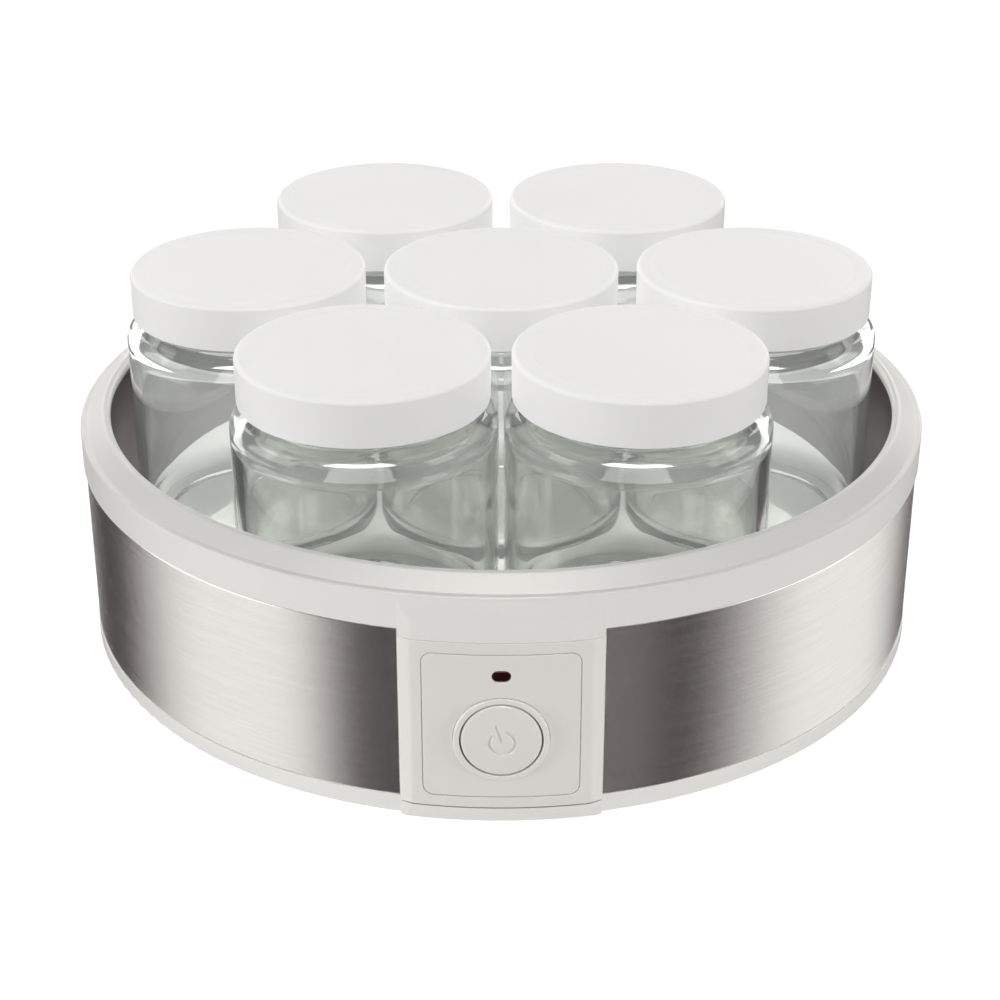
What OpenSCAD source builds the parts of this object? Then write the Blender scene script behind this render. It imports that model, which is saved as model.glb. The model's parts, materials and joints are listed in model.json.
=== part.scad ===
// Seven-jar yogurt maker: a heated round housing with a push-button panel and seven lidded glass jars.
// Origin: centre of the footprint, at the height of the table. +Z is up and the panel faces -Y.

/* [Housing] */
// Outer diameter of the top rim
body_d = 240; // [238:1:246]
// Height of the top of the rim above the table
body_h = 69.6; // [69:0.1:74]
// Height of the base above the table
foot_h = 1.5; // [1.5:0.1:2.5]
// Height of the bottom edge of the steel band
band_z0 = 7.1; // [7:0.1:8]
// Height of the top edge of the steel band
band_z1 = 55.5; // [54.5:0.5:56]
// Height of the floor that the jars stand on
floor_z = 29.5; // [29.3:0.1:31]
// Thickness of the moulded housing walls
wall = 2.1; // [1.8:0.1:2.2]

/* [Jars] */
// Outer diameter of a glass jar
jar_d = 70; // [69:0.1:70.4]
// Height of a glass jar without its lid
jar_h = 74; // [70:0.5:84]
// Distance between the axes of neighbouring jars
jar_pitch = 71.2; // [71:0.1:72]
// Thickness of the glass
glass_t = 3; // [2.4:0.1:3.2]
// Radius of the rounded shoulder
shoulder_r = 4.6; // [4.2:0.1:5.4]
// Outer diameter of the jar's neck
neck_d = 58.4; // [58:0.1:58.6]
// Height that the thread lifts a lid in one full turn
thread_lead = 14; // [12:0.5:16]

/* [Lids] */
// Outer diameter of a lid at its top edge
lid_d = 66; // [65.6:0.1:67.2]
// Height of a lid
lid_h = 12.7; // [12.2:0.1:13.4]
// Thickness of a lid's top
lid_top_t = 1.6; // [1.4:0.1:2]
// Thickness of the sealing disc inside a lid
seal_t = 1; // [0.8:0.1:1.2]

/* [Control panel] */
// Width of the control panel
panel_w = 51; // [49:0.2:53]
// Width of the bevelled strip along each side of the panel
strip_w = 3.1; // [2.5:0.1:3.6]
// Width of the square inlay
plate_w = 39.2; // [38:0.2:40]
// Height of the square inlay
plate_h = 41; // [40:0.2:42]
// Height of the centre of the push button
button_z = 26.3; // [25.6:0.1:26.6]
// Diameter of the push button
button_d = 20.2; // [19.5:0.1:20.8]
// Outer diameter of the ring round the button
bezel_d = 24.1; // [24:0.1:24.8]
// Travel of the push button
button_travel = 1; // [0.6:0.1:1]
// Height of the centre of the indicator lens
lens_z = 44.4; // [43.5:0.1:45]

/* [Hidden] */
$fn = 96;

// Radii of the housing, from the outside in
rim_r = body_d / 2;
panel_r = rim_r + 1.2;
front_y = panel_r + 0.95;
band_r = rim_r - 0.6;
band_t = 0.6;
shell_r = band_r - band_t - 0.15;
shell_in_r = shell_r - wall;
rim_in_r = rim_r - 8.5;
liner_r = rim_in_r + 0.6;
liner_t = 0.8;
plate_r = liner_r - 0.1;
lip_r = rim_r - 0.3;

// Heights of the housing
rim_z0 = band_z1 + 0.3;
bead_r = 1.6;
bead = [rim_in_r + bead_r, body_h - bead_r];
ledge_z = body_h - 3.7;
seam_top_z = 54.1;
seam_low_z = 6.1;
seam_gap = 0.25;
plate_z0 = floor_z - 1.4;
shelf_t = 2;
shelf_z0 = plate_z0 - shelf_t;
shelf_in_r = 99.5;
cover_z0 = foot_h + 0.2;
cover_t = 2;
cover_top_z = cover_z0 + cover_t;
cover_r = shell_in_r - 0.25;

// Panel
plate_z = 29.9;
plate_corner_r = 2.6;
plate_gap = 0.22;
plate_back_r = panel_r - 1.5;
window_inset = 2;
board_front_y = -(panel_r - 5.4);
board_t = 1.2;
board_back_y = board_front_y + board_t;
board_z0 = 10.9;
board_z1 = 48.5;
board_w = 32;
post_x = 13.2;
post_z = [13.6, 45.9];
bezel_in_r = button_d / 2 + 0.35;
bezel_back_y = -(panel_r - 2.4);
flange_y = 1.1 + button_travel - board_front_y;
plunger_r = 1.7;
switch_front_y = board_front_y - 2.2;
plunger_front_y = switch_front_y - 0.6;
lens_depth = 2.3;
lens_w = 4.6;
lens_h = 3;

// Jars and lids
jar_r = jar_d / 2;
neck_r = neck_d / 2;
mouth_r = neck_r - 2.6;
heel_r = 4;
base_t = 4;
shoulder_z = jar_h - 17.4;
lip_round = 0.9;
bead_z = jar_h - 4.5;
bead_h = 1.2;
lug_h = 1;
lid_r = lid_d / 2;
lid_in_r = lid_r - 2;
lid_z0 = floor_z + jar_h + seal_t + lid_top_t - lid_h;
thread_tilt = atan(thread_lead / (2 * PI * neck_r));

// Under the floor
heater_z0 = plate_z0 - 1;
clamp_z0 = heater_z0 - 0.8;
stud_ring_r = 46;
stud_r = 1.5;
boss_ring_r = 105;
screw_angles = [25, 155, 205, 335];
foot_ring_r = 98;
foot_angles = [45, 135, 225, 315];
gland_z = 16;
gland_bore_r = 3.5;
lead_z = 12.2;
lead_r = 1;
mains_x = 7.5;
heater_x = 2.5;
thermostat_r = 8.2;
tab_z0 = 17;
connector_y = board_back_y + 6;
block_y = 84;
block_h = 11;
insulation_z0 = 15;
insulation_z1 = 21;

function jar_pos(i) = i == 1 ? [0, 0] : jar_pitch * [cos(60 * (i - 2)), sin(60 * (i - 2))];

// Point where the upper tangent from point p touches the circle with centre c and radius r
function tangent_point(c, r, p) =
    let (v = c - p, d = norm(v), a = atan2(v[1], v[0]) - asin(r / d), t = sqrt(d * d - r * r))
    p + t * [cos(a), sin(a)];

module ring(r0, r1, z0, z1) {
    translate([0, 0, z0]) difference() {
        cylinder(r = r1, h = z1 - z0);
        translate([0, 0, -1]) cylinder(r = r0, h = z1 - z0 + 2);
    }
}

// Solid that runs along Y from y0 towards -Y, over a depth, centred on height z
module along_y(y0, depth, z) {
    translate([0, y0, z]) rotate([90, 0, 0]) linear_extrude(depth) children();
}

module rounded_rect(w, h, r) {
    square([w - 2 * r, h], center = true);
    square([w, h - 2 * r], center = true);
    for (x = [-1, 1], y = [-1, 1]) translate([x * (w / 2 - r), y * (h / 2 - r)]) circle(r);
}

module slot_2d(w, h) {
    square([w - h, h], center = true);
    for (x = [-1, 1]) translate([x * (w - h) / 2, 0]) circle(h / 2);
}

// Plan of the control panel: an arc of the housing with a bevelled strip down each side
module panel_plan(r_in) {
    half_w = panel_w / 2;
    field = half_w - strip_w;
    field_y = -sqrt(panel_r * panel_r - field * field);
    edge_y = -sqrt(pow(rim_r + 0.1, 2) - half_w * half_w);
    outside_y = -panel_r - 2;
    intersection() {
        difference() {
            circle(panel_r);
            circle(r_in);
        }
        polygon([[half_w, -90], [half_w, edge_y], [field, field_y], [field, outside_y],
                 [-field, outside_y], [-field, field_y], [-half_w, edge_y], [-half_w, -90]]);
    }
}

// ---- Housing ----

module rim_profile() {
    corner_r = 0.6;
    ledge = [rim_r - 1.6, ledge_z];
    skirt_in_r = shell_r + 0.15;
    rib_r = liner_r + liner_t + 0.1;
    translate(bead) circle(bead_r);
    for (z = [rim_z0 + corner_r, ledge_z - corner_r]) translate([rim_r - corner_r, z]) circle(corner_r);
    polygon([bead, [rib_r, bead[1] - 1], [rib_r, rim_z0 + 5.2], [rib_r + 1.4, rim_z0 + 5.2],
             [rib_r + 1.4, ledge_z - 1.2], [skirt_in_r, ledge_z - 3.5], [skirt_in_r, rim_z0],
             [rim_r - corner_r, rim_z0], [rim_r, rim_z0 + corner_r], [rim_r, ledge_z - corner_r],
             [rim_r - corner_r, ledge_z], ledge, tangent_point(bead, bead_r, ledge)]);
}

// Brow of the rim above the control panel
module brow() {
    top_z = ledge_z - 1.6;
    intersection() {
        translate([0, 0, seam_top_z]) linear_extrude(top_z - seam_top_z) panel_plan(shell_r + 0.3);
        rotate_extrude() polygon([[100, seam_top_z - 1], [panel_r, seam_top_z - 1], [panel_r, top_z - 5.2],
                                  [rim_r - 0.1, top_z], [100, top_z]]);
    }
}

module upper_rim() color("#e6e4e0") {
    rotate_extrude() rim_profile();
    brow();
}

module shell_profile() {
    corner_r = 1.5;
    lip_top_z = band_z0 - 0.1;
    translate([shell_in_r, foot_h]) square([wall, ledge_z - 3.9 - foot_h]);
    translate([shell_in_r, foot_h]) square([lip_r - corner_r - shell_in_r, lip_top_z - foot_h]);
    translate([shell_in_r, foot_h + corner_r]) square([lip_r - shell_in_r, lip_top_z - foot_h - corner_r]);
    translate([lip_r - corner_r, foot_h + corner_r]) circle(corner_r);
}

// Foot of the control panel, moulded with the shell and tapering downwards
module panel_foot() {
    z0 = foot_h + 0.3;
    z1 = seam_low_z - seam_gap;
    intersection() {
        translate([0, 0, z0]) linear_extrude(z1 - z0) panel_plan(shell_in_r + 0.5);
        rotate_extrude() polygon([[100, z0], [panel_r - 0.6, z0], [panel_r, z1], [100, z1]]);
    }
}

module body_shell() color("#e4e2de") {
    difference() {
        union() {
            rotate_extrude() shell_profile();
            panel_foot();
        }
        board_window();
        along_y(shell_r + 5, 12, gland_z) circle(6.2);
        panel_seat();
    }
}

// Step in the shell's lip, where the lower edge of the panel goes
module panel_seat() difference() {
    translate([-panel_w / 2 - 0.1, -body_d, seam_low_z - seam_gap]) cube([panel_w + 0.2, body_d, 2]);
    translate([0, 0, seam_low_z - 1]) cylinder(r = shell_r, h = 4);
}

// Space that the shell and the support leave for the control board
module board_window() along_y(board_back_y + 0.9, 12, plate_z + 0.4) square([37, 41], center = true);

// Shelf that carries the tray, with the bosses that take the screws of the base
module tray_support() color("#dedcd8") difference() {
    union() {
        ring(shelf_in_r, shell_in_r - 0.1, shelf_z0, plate_z0);
        for (a = screw_angles) rotate([0, 0, a]) translate([boss_ring_r, 0, cover_top_z + 0.05])
            cylinder(r = 4.2, h = shelf_z0 - cover_top_z);
    }
    for (a = screw_angles) rotate([0, 0, a]) translate([boss_ring_r, 0, cover_top_z - 1])
        cylinder(r = 1.6, h = 17);
    board_window();
}

module steel_band() color("#b9b7b3") difference() {
    ring(band_r - band_t, band_r, band_z0, band_z1);
    translate([-panel_w / 2 - 0.1, -body_d, 0]) cube([panel_w + 0.2, body_d, body_h]);
    along_y(band_r + 5, 12, gland_z) circle(6.4);
}

module inner_liner() color("#5e5656") ring(liner_r, liner_r + liner_t, plate_z0, bead[1] - bead_r - 0.1);

module heating_plate() color("#c3c8c0") translate([0, 0, plate_z0])
    cylinder(r = plate_r, h = floor_z - plate_z0);

// Three studs welded to the underside of the heating plate
module clamp_studs() color("#9d9fa1") for (k = [0:2]) rotate([0, 0, 90 + 120 * k])
    translate([stud_ring_r, 0, plate_z0 - 6]) cylinder(r = stud_r, h = 6);

// ---- Control panel ----

module control_fascia() color("#dddad5") difference() {
    translate([0, 0, seam_low_z]) linear_extrude(seam_top_z - seam_gap - seam_low_z)
        panel_plan(shell_r + 0.3);
    difference() {
        along_y(-90, 40, plate_z)
            rounded_rect(plate_w + 2 * plate_gap, plate_h + 2 * plate_gap, plate_corner_r + plate_gap);
        cylinder(r = plate_back_r - 0.05, h = body_h);
    }
    along_y(-90, 40, plate_z)
        rounded_rect(plate_w - 2 * window_inset, plate_h - 2 * window_inset, plate_corner_r);
}

module control_plate() color("#d6d3ce") difference() {
    union() {
        intersection() {
            ring(plate_back_r, panel_r - 0.05, 0, body_h);
            along_y(-90, 40, plate_z) rounded_rect(plate_w, plate_h, plate_corner_r);
        }
        for (x = [-1, 1], z = post_z) translate([x * post_x, 0, 0])
            along_y(board_front_y, 3.8, z) circle(2.1);
    }
    for (x = [-1, 1], z = post_z) translate([x * post_x, 0, 0])
        along_y(board_front_y + 1, 3.6, z) circle(1.05);
    along_y(-100, 40, button_z) circle(bezel_d / 2 + 0.08);
    along_y(-100, 40, lens_z) slot_2d(lens_w + 0.2, lens_h + 0.2);
}

module led_lens() color("#3a0a0c") along_y(lens_depth - panel_r, lens_depth, lens_z)
    slot_2d(lens_w, lens_h);

module button_bezel() color("#dedbd6") along_y(bezel_back_y, panel_r + 0.5 + bezel_back_y, button_z)
    difference() {
        circle(bezel_d / 2);
        circle(bezel_in_r);
    }

// Generic standby mark, engraved: a bar over a ring that is open at the top
module standby_mark() {
    mark_r = 3.6;
    line_w = 0.85;
    translate([0, -0.6]) difference() {
        circle(mark_r);
        circle(mark_r - line_w);
        polygon([[0, 0], [-3, 5], [3, 5]]);
    }
    translate([-line_w / 2, -0.3]) square([line_w, 5.2]);
}

// Half section of the button: radius against distance in front of the housing's axis
module button_profile() {
    r = button_d / 2;
    edge_r = 0.45;
    crown_r = 120;
    crown_y = front_y;
    corner_y = crown_y - (crown_r - sqrt(crown_r * crown_r - r * r)) - edge_r;
    skirt_in_r = r - 1.8;
    cap_t = 1.7;
    difference() {
        union() {
            translate([0, flange_y]) square([r, corner_y - flange_y]);
            translate([r - edge_r, corner_y]) circle(edge_r);
            intersection() {
                translate([0, flange_y]) square([r - edge_r, crown_y - flange_y]);
                translate([0, crown_y - crown_r]) circle(r = crown_r, $fn = 720);
            }
            translate([0, flange_y]) square([bezel_in_r + 0.9, -bezel_back_y - 0.1 - flange_y]);
        }
        translate([plunger_r, flange_y - 1]) square([skirt_in_r - plunger_r, crown_y - cap_t - flange_y + 1]);
        translate([-1, flange_y - 1]) square([skirt_in_r, -plunger_front_y - flange_y + 1]);
    }
}

module power_button() color("#e2dfda") translate([0, 0, button_z]) rotate([90, 0, 0]) difference() {
    rotate_extrude() button_profile();
    translate([0, 0, front_y - 0.35]) linear_extrude(1) rotate(18) standby_mark();
}

module switch_plunger() color("#222222") along_y(plunger_front_y + 1.6, 1.6, button_z) circle(plunger_r);

module tact_switch() color("#1c1c1e") difference() {
    along_y(board_front_y, 2.2, button_z) square(6.2, center = true);
    along_y(board_front_y - 0.15, 4, button_z) circle(plunger_r + 0.08);
}

module indicator_led() color("#c02020") {
    along_y(board_front_y, 1.5, lens_z) circle(1.5);
    translate([0, board_front_y - 1.5, lens_z]) sphere(1.5);
}

module control_board() color("#2f6b3c") difference() {
    along_y(board_back_y, board_t, (board_z0 + board_z1) / 2)
        square([board_w, board_z1 - board_z0], center = true);
    for (x = [-1, 1], z = post_z) translate([x * post_x, 0, 0]) along_y(-110, 10, z) circle(1.15);
}

module board_relay() color("#1f2f6a") translate([-14, board_back_y, 17.6]) cube([15, 10, 7.8]);

module board_capacitor() color("#243a8c") translate([8.5, 0, 0]) along_y(board_back_y + 11.5, 11.5, 21.4)
    circle(4.2);

module board_connector() color("#efece0") translate([-10, board_back_y, board_z0]) cube([20, 6, 6]);

module board_screws() color("#8a8a8a") for (x = [-1, 1], z = post_z) translate([x * post_x, 0, 0]) {
    along_y(board_back_y + 1, 1, z) circle(1.9);
    along_y(board_back_y, 3.6, z) circle(1);
}

// ---- Heating and wiring under the floor ----

module heating_element() color("#9a6b3a") ring(50, 94, heater_z0, plate_z0);

module heater_clamp() color("#9d9fa1") difference() {
    union() {
        ring(56, 96, clamp_z0, heater_z0);
        for (k = [0:2]) rotate([0, 0, 90 + 120 * k]) translate([stud_ring_r - 6, -5, clamp_z0])
            cube([18, 10, heater_z0 - clamp_z0]);
    }
    for (k = [0:2]) rotate([0, 0, 90 + 120 * k]) translate([stud_ring_r, 0, 0])
        cylinder(r = stud_r + 0.2, h = body_h);
}

module clamp_nuts() color("#8a8a8a") for (k = [0:2]) rotate([0, 0, 90 + 120 * k])
    translate([stud_ring_r, 0, clamp_z0 - 2.4]) difference() {
        cylinder(r = 3.2, h = 2.4, $fn = 6);
        translate([0, 0, -1]) cylinder(r = stud_r + 0.1, h = 5);
    }

module thermostat() color("#d8d2c4") {
    body_h0 = plate_z0 - 5.2;
    translate([0, 0, body_h0]) cylinder(r = thermostat_r, h = 5.2);
    for (x = [-1, 1]) translate([x * heater_x - 0.4, -3, tab_z0]) cube([0.8, 6, body_h0 - tab_z0 + 0.5]);
}

module thermal_fuse() color("#e8e4da") translate([-7, 28, plate_z0 - 2.3]) rotate([0, 90, 0])
    cylinder(r = 2.2, h = 14);

module insulation_ring() color("#c9c0a8") ring(16, 96, insulation_z0, insulation_z1);

module upward_bend(bend_r) rotate([90, 0, 90]) translate([0, bend_r, 0])
    rotate_extrude(angle = 90, start = -90) translate([bend_r, 0]) circle(lead_r);

// Supply from the board to the thermostat, and links from the thermostat to the heating element
module heater_leads() color("#b03030") {
    bend_r = tab_z0 - lead_z;
    link_bend_r = 3.4;
    link_z = heater_z0 - link_bend_r;
    link_x = 53;
    for (x = [-1, 1]) {
        translate([x * heater_x, 0, 0]) along_y(-bend_r, -bend_r - connector_y, lead_z) circle(lead_r);
        translate([x * heater_x, -bend_r, lead_z]) upward_bend(bend_r);
        translate([x * thermostat_r, 0, link_z]) rotate([0, x * 90, 0])
            cylinder(r = lead_r, h = link_x - thermostat_r - link_bend_r);
        rotate([0, 0, x * -90]) translate([0, link_x - link_bend_r, link_z]) upward_bend(link_bend_r);
    }
}

module mains_leads() color("#7a5230") for (x = [-1, 1]) translate([x * mains_x, 0, 0])
    along_y(block_y, block_y - connector_y, lead_z) circle(lead_r);

module terminal_block() color("#e9e6dc") translate([-12, block_y, cover_top_z]) difference() {
    cube([24, 16, block_h]);
    for (x = [-1, 1]) translate([12 + x * mains_x, 8, 6]) cylinder(r = 2.4, h = 9);
}

module cable_gland() color("#dcdad6") difference() {
    union() {
        translate([0, front_y, gland_z]) rotate([90, 0, 0])
            cylinder(r1 = 6.6, r2 = 8, h = front_y - band_r - 0.1);
        along_y(band_r + 0.5, band_r - 112, gland_z) circle(6);
        along_y(shell_in_r - 0.45, 3.2, gland_z) circle(8);
    }
    along_y(front_y + 1, 15, gland_z) circle(gland_bore_r);
}

// ---- Base ----

module bottom_cover() color("#dcdad6") {
    vent_count = 24;
    difference() {
        translate([0, 0, cover_z0]) cylinder(r = cover_r, h = cover_t);
        for (a = screw_angles) rotate([0, 0, a]) translate([boss_ring_r, 0, 0]) {
            cylinder(r = 1.7, h = 10);
            cylinder(r = 3.4, h = cover_z0 + 1);
        }
        for (a = foot_angles) rotate([0, 0, a]) translate([foot_ring_r, 0, 0]) cylinder(r = 2.6, h = 10);
        for (k = [0:vent_count - 1]) rotate([0, 0, 360 * k / vent_count])
            translate([44, -1.2, 0]) cube([18, 2.4, 10]);
    }
}

// Six posts on the base that hold the insulation up
module insulation_posts() color("#dcdad6") for (k = [0:5]) rotate([0, 0, 60 * k])
    translate([70, 0, cover_top_z]) cylinder(r = 3, h = insulation_z0 - cover_top_z);

module cover_screws() color("#8a8a8a") for (a = screw_angles) rotate([0, 0, a])
    translate([boss_ring_r, 0, 0]) {
        translate([0, 0, cover_z0 + 0.05]) cylinder(r = 3, h = 0.95);
        translate([0, 0, cover_z0 + 0.5]) cylinder(r = 1.5, h = 13);
    }

module rubber_feet() color("#3a3a3c") for (a = foot_angles) rotate([0, 0, a])
    translate([foot_ring_r, 0, 0]) {
        cylinder(r = 8, h = cover_z0);
        cylinder(r = 2.5, h = cover_top_z + 1);
        translate([0, 0, cover_top_z]) cylinder(r = 3.2, h = 1);
    }

// ---- Jars ----

// Half section filled from the axis out to one face of the glass, from the base to the neck
module jar_outline(wall_r, z0, heel, arc_r, arc_z, neck) {
    translate([0, z0]) square([wall_r - heel, arc_z - z0]);
    translate([0, z0 + heel]) square([wall_r, arc_z - z0 - heel]);
    translate([wall_r - heel, z0 + heel]) circle(heel);
    translate([wall_r - arc_r, arc_z]) circle(arc_r);
    translate([0, arc_z - 1]) square([neck, jar_h - lip_round - arc_z + 1]);
}

module jar_profile() {
    inner_r = jar_r - glass_t;
    difference() {
        jar_outline(jar_r, 0, heel_r, shoulder_r, shoulder_z, neck_r);
        jar_outline(inner_r, base_t, heel_r + 1, shoulder_r + 2.2, shoulder_z - 4.9, mouth_r);
        translate([0, jar_h - 3]) square([mouth_r, 5]);
        translate([-1, -1]) square([27, 1.6]);
        translate([-20, -1]) square([20, jar_h + 2]);
    }
    for (r = [mouth_r + lip_round, neck_r - lip_round]) translate([r, jar_h - lip_round]) circle(lip_round);
    translate([mouth_r + lip_round, jar_h - 2]) square([neck_r - mouth_r - 2 * lip_round, 2]);
}

// Four short sloping ribs round an axis, from radius r0 to r1, as parts of a right-hand thread
module thread_ribs(r0, r1, z, height, half_angle) {
    for (k = [0:3]) rotate([0, 0, 90 * k]) intersection() {
        rotate_extrude(angle = 2 * half_angle, start = -half_angle)
            translate([r0, z - 4]) square([r1 - r0, 8]);
        translate([neck_r, 0, z]) rotate([thread_tilt, 0, 0]) cube([30, 60, height], center = true);
    }
}

module jar(i) color("#cfdad2", 0.4) translate([each jar_pos(i), floor_z]) {
    rotate_extrude() jar_profile();
    thread_ribs(neck_r - 0.3, neck_r + 1.3, bead_z, bead_h, 34);
}

module lid_profile() {
    corner_r = 1.3;
    taper = 0.1;
    difference() {
        union() {
            polygon([[0, 0], [lid_r - taper, 0], [lid_r, lid_h - corner_r], [0, lid_h - corner_r]]);
            square([lid_r - corner_r, lid_h]);
            translate([lid_r - corner_r, lid_h - corner_r]) circle(corner_r);
        }
        translate([-1, -1]) square([lid_in_r + 1, lid_h - lid_top_t + 1]);
        translate([-10, -1]) square([10, lid_h + 2]);
        translate([-1, lid_h - 0.12]) square([lid_r - 4 + 1, 1]);
    }
}

module jar_lid(i) color("#ebebea") translate([each jar_pos(i), lid_z0]) {
    lug_z = floor_z + bead_z - lid_z0 - (bead_h + lug_h) / 2 - 0.3;
    rotate_extrude() lid_profile();
    thread_ribs(neck_r + 0.4, lid_in_r + 0.3, lug_z, lug_h, 8);
}

module lid_seal(i) color("#f2f2ee") translate([each jar_pos(i), floor_z + jar_h])
    cylinder(r = lid_in_r - 0.4, h = seal_t);

// ---- Assembly ----

upper_rim();
body_shell();
tray_support();
steel_band();
inner_liner();
heating_plate();
clamp_studs();
control_fascia();
control_plate();
led_lens();
button_bezel();
power_button();
switch_plunger();
tact_switch();
indicator_led();
control_board();
board_relay();
board_capacitor();
board_connector();
board_screws();
heating_element();
heater_clamp();
clamp_nuts();
thermostat();
thermal_fuse();
insulation_ring();
heater_leads();
mains_leads();
terminal_block();
cable_gland();
insulation_posts();
bottom_cover();
cover_screws();
rubber_feet();
for (i = [1:7]) {
    jar(i);
    jar_lid(i);
    lid_seal(i);
}
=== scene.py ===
import json
import math

import bmesh
import bpy
import numpy as np
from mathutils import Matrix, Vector
from mathutils.geometry import delaunay_2d_cdt

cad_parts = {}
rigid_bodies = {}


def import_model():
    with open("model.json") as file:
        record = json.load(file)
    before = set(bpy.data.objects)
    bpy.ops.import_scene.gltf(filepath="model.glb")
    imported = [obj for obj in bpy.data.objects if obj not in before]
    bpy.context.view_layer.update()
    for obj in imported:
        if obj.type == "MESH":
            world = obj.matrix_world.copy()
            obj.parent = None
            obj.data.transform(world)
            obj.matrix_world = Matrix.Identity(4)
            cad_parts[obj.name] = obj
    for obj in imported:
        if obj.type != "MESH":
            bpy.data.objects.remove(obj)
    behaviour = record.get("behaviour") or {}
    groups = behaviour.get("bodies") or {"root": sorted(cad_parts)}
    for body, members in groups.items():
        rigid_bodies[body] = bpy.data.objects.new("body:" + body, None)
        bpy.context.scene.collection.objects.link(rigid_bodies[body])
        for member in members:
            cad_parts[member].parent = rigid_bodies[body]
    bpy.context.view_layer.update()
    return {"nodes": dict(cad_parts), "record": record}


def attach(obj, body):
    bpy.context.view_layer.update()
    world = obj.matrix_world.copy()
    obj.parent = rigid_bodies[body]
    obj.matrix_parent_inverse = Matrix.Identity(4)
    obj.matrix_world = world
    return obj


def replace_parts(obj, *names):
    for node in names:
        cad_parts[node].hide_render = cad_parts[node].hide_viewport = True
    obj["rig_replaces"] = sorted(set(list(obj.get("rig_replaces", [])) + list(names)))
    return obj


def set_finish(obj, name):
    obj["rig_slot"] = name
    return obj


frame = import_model()
nodes = frame["nodes"]
record = frame["record"]
scene = bpy.context.scene

# ---- Sizes in millimetres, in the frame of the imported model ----
MM = 0.001
GRID_CLEARANCE = 0.3  # least distance of a face's inner points from its edges
RIM_R = 120.0
RIM_IN_R = 111.5
BODY_H = 69.6
LEDGE_Z = 65.9
RIM_Z0 = 55.8
PANEL_R = 121.2
PANEL_HALF = 25.5
FIELD_HALF = 22.4
SEAM_TOP = 54.1
SEAM_LOW = 6.1
SEAM_GAP = 0.25
STRIP_DROP = 1.12
SEAM_DEPTH = 0.5
BAND_R = 119.4
BAND_T = 0.6
BAND_Z0 = 7.1
BAND_Z1 = 55.5
LINER_R = 112.1
FLOOR_Z = 29.5
PLATE_W, PLATE_H, PLATE_Z = 39.2, 41.0, 29.9
PLATE_CORNER = 2.6
BUTTON_R, BUTTON_Z = 10.1, 26.3
BEZEL_R = 12.05
FRONT_Y = 122.15
LENS_W, LENS_H, LENS_Z = 4.6, 3.0, 44.4
GLAND_Z = 16.0
FOOT_PITCH_R = 98.0
JAR_PITCH = 71.2
JAR_H = 74.0
SEAL_R, SEAL_T = 30.6, 0.95
LID_Z0 = 93.4
LID_IN_R = 31.0
THREAD_LEAD = 14.0
JAR_THREAD_Z, LID_THREAD_Z = 69.5, 4.2
JAR_IDS = range(1, 8)
FRONT_JAR_IDS = (6, 7)


# ---- Profiles ----

def arc(centre, radius, start, end, step):
    """Points on an arc, in degrees from +r towards +z."""
    count = max(2, math.ceil(abs(end - start) / step))
    out = []
    for k in range(count + 1):
        a = math.radians(start + (end - start) * k / count)
        out.append((centre[0] + radius * math.cos(a), centre[1] + radius * math.sin(a)))
    return out


def line(start, end, step):
    """Points from start towards end, without the end point."""
    count = max(1, math.ceil(math.dist(start, end) / step))
    return [(start[0] + (end[0] - start[0]) * k / count, start[1] + (end[1] - start[1]) * k / count)
            for k in range(count)]


def fillet(points, closed=True, step=12.0):
    """Polyline of (r, z, radius), with each corner rounded to its radius."""
    out = []
    n = len(points)
    for i, (r, z, radius) in enumerate(points):
        p = Vector((r, z))
        if radius <= 0 or (not closed and i in (0, n - 1)):
            out.append((r, z))
            continue
        u = (Vector(points[i - 1][:2]) - p).normalized()
        v = (Vector(points[(i + 1) % n][:2]) - p).normalized()
        half = u.angle(v) / 2
        centre = p + (u + v).normalized() * (radius / math.sin(half))
        s = p + u * (radius / math.tan(half)) - centre
        e = p + v * (radius / math.tan(half)) - centre
        a0, a1 = math.atan2(s.y, s.x), math.atan2(e.y, e.x)
        turn = (a1 - a0 + math.pi) % (2 * math.pi) - math.pi
        count = max(2, math.ceil(abs(math.degrees(turn)) / step))
        for k in range(count + 1):
            a = a0 + turn * k / count
            out.append((centre.x + radius * math.cos(a), centre.y + radius * math.sin(a)))
    return out


# ---- Meshes ----

def make_object(name, verts, faces, sharp=38.0):
    mesh = bpy.data.meshes.new(name)
    mesh.from_pydata([tuple(c * MM for c in v) for v in verts], [], faces)
    bm = bmesh.new()
    bm.from_mesh(mesh)
    bmesh.ops.remove_doubles(bm, verts=bm.verts, dist=1e-6)
    bmesh.ops.recalc_face_normals(bm, faces=bm.faces)
    bm.to_mesh(mesh)
    bm.free()
    mesh.shade_smooth()
    mesh.set_sharp_from_angle(angle=math.radians(sharp))
    obj = bpy.data.objects.new(name, mesh)
    scene.collection.objects.link(obj)
    return obj


def upright(x, y, z):
    return x, y, z


def facing_front(z0):
    """The axis of revolution points to -Y, at height z0."""
    return lambda x, y, z: (x, -z, y + z0)


def facing_back(z0):
    return lambda x, y, z: (-x, z, y + z0)


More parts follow.
